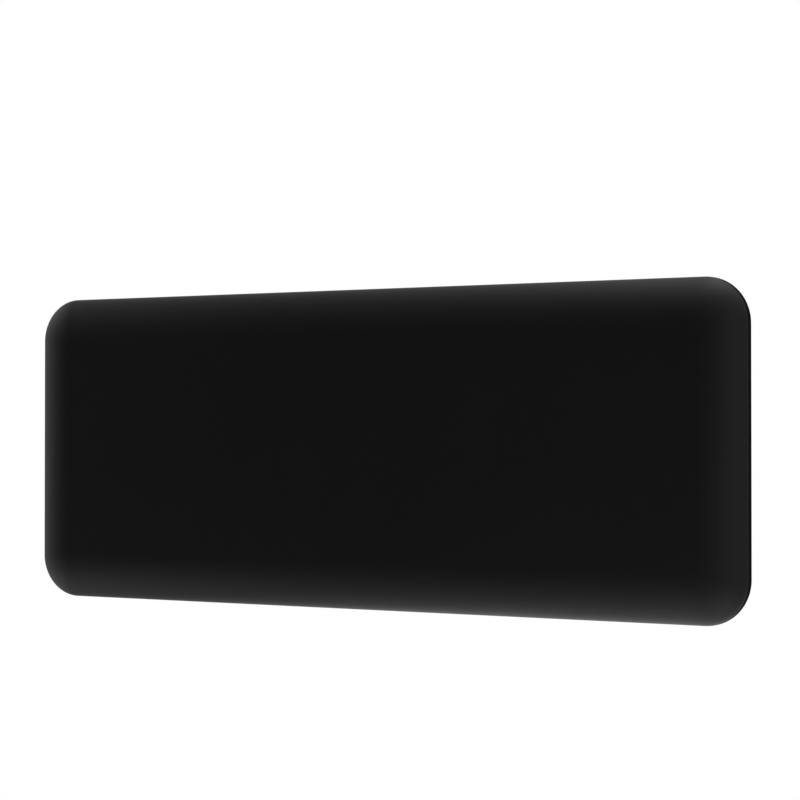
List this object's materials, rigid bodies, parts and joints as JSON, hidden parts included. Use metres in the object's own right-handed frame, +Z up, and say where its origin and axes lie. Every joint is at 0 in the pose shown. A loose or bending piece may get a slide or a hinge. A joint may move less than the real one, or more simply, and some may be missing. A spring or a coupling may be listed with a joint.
{
  "type": "panel heater",
  "caption": "Flat wall-hung electric panel heater with a round-cornered pillow-edged front, top controls, rear casing, and a hook bracket it tilts on.",
  "frame": {"origin": "centre of the wall bracket's screw pattern, on the wall plane", "axes": "+X along the heater to its right seen from the front, +Y into the wall, +Z up"},
  "size_m": [0.9, 0.086, 0.352],
  "materials": {
    "black_powder_coat": "fine matt powder coat",
    "galvanised_sheet": "bare galvanised sheet",
    "extruded_aluminium": "plain extrusion",
    "element_steel": "heat-tinted tube",
    "ceramic": "glazed ceramic",
    "bracket_coat": "satin coat",
    "zinc_plate": "zinc plated",
    "black_moulding": "fine spark texture",
    "button_moulding": "fine spark texture",
    "smoked_window": "polished smoked plastic",
    "display_face": "display module",
    "circuit_board": "solder mask",
    "black_component": "moulded",
    "blue_component": "moulded",
    "yellow_component": "tape wrapped",
    "green_component": "moulded",
    "shield_can": "tinned can",
    "brown_wire": "sleeving",
    "blue_wire": "sleeving",
    "earth_wire": "green and yellow sleeving",
    "white_wire": "glass sleeving",
    "grey_ribbon": "flat cable",
    "nylon": "natural nylon",
    "rubber": "moulded rubber"
  },
  "bodies": {
    "bracket": {"bracket_arm_left": "bracket_coat", "bracket_arm_right": "bracket_coat", "bracket_rail_upper": "bracket_coat", "bracket_rail_lower": "bracket_coat", "bracket_rivets": "zinc_plate", "rest_pads": "rubber"},
    "heater": {"front_panel": "black_powder_coat", "rear_casing": "black_powder_coat", "casing_screws": "zinc_plate", "outlet_grille": "black_moulding", "rear_heat_shield": "galvanised_sheet", "front_baffle": "galvanised_sheet", "element_fins": "extruded_aluminium", "element_rod": "element_steel", "element_insulators": "ceramic", "element_bracket_left": "galvanised_sheet", "element_bracket_right": "galvanised_sheet", "thermal_limiter": "black_component", "temperature_sensor": "black_component", "sensor_clip": "nylon", "control_housing": "black_moulding", "control_fascia": "black_moulding", "display_window": "smoked_window", "display_module": "display_face", "display_board": "circuit_board", "tact_switches": "black_component", "wifi_module": "shield_can", "power_board": "circuit_board", "board_standoffs": "nylon", "board_screws": "zinc_plate", "mains_relay": "blue_component", "transformer": "yellow_component", "filter_capacitor": "yellow_component", "terminal_block": "green_component", "triac_heatsink": "extruded_aluminium", "rocker_body": "black_moulding", "cable_gland": "black_moulding", "gland_nut": "black_moulding", "earth_stud": "zinc_plate", "mains_live": "brown_wire", "mains_neutral": "blue_wire", "mains_earth": "earth_wire", "switch_lead": "brown_wire", "limiter_lead": "white_wire", "element_feed_left": "white_wire", "element_feed_right": "white_wire", "sensor_lead": "grey_ribbon", "ribbon_cable": "grey_ribbon", "wire_clips": "nylon", "hinge_lugs": "bracket_coat", "hinge_pins": "zinc_plate", "hanger_rivets": "zinc_plate", "lock_keepers": "bracket_coat"},
    "lock_left": {"lock_left": "black_moulding"},
    "lock_right": {"lock_right": "black_moulding"},
    "button_power": {"button_power": "button_moulding"},
    "button_minus": {"button_minus": "button_moulding"},
    "button_plus": {"button_plus": "button_moulding"},
    "button_menu": {"button_menu": "button_moulding"},
    "rocker": {"rocker_paddle": "button_moulding"}
  },
  "joints": [
    {"name": "heater_tilt", "type": "hinge", "parent": "bracket", "child": "heater", "pos_m": [0, -0.013, -0.112], "axis": [1, 0, 0], "range_deg": [0, 20]},
    {"name": "lock_left_turn", "type": "hinge", "parent": "bracket", "child": "lock_left", "pos_m": [-0.24, -0.01, 0.1625], "axis": [0, 0, -1], "range_deg": [0, 90]},
    {"name": "lock_right_turn", "type": "hinge", "parent": "bracket", "child": "lock_right", "pos_m": [0.24, -0.01, 0.1625], "axis": [0, 0, 1], "range_deg": [0, 90]},
    {"name": "button_power_press", "type": "slide", "parent": "heater", "child": "button_power", "axis": [0, 0, -1], "range_m": [0, 0.0008], "stiffness_N_per_m": 600, "springref_m": -0.0005},
    {"name": "button_minus_press", "type": "slide", "parent": "heater", "child": "button_minus", "axis": [0, 0, -1], "range_m": [0, 0.0008], "stiffness_N_per_m": 600, "springref_m": -0.0005},
    {"name": "button_plus_press", "type": "slide", "parent": "heater", "child": "button_plus", "axis": [0, 0, -1], "range_m": [0, 0.0008], "stiffness_N_per_m": 600, "springref_m": -0.0005},
    {"name": "button_menu_press", "type": "slide", "parent": "heater", "child": "button_menu", "axis": [0, 0, -1], "range_m": [0, 0.0008], "stiffness_N_per_m": 600, "springref_m": -0.0005},
    {"name": "rocker_turn", "type": "hinge", "parent": "heater", "child": "rocker", "pos_m": [0.4214, -0.0396, -0.092], "axis": [0, 1, 0], "range_deg": [0, 18]}
  ]
}
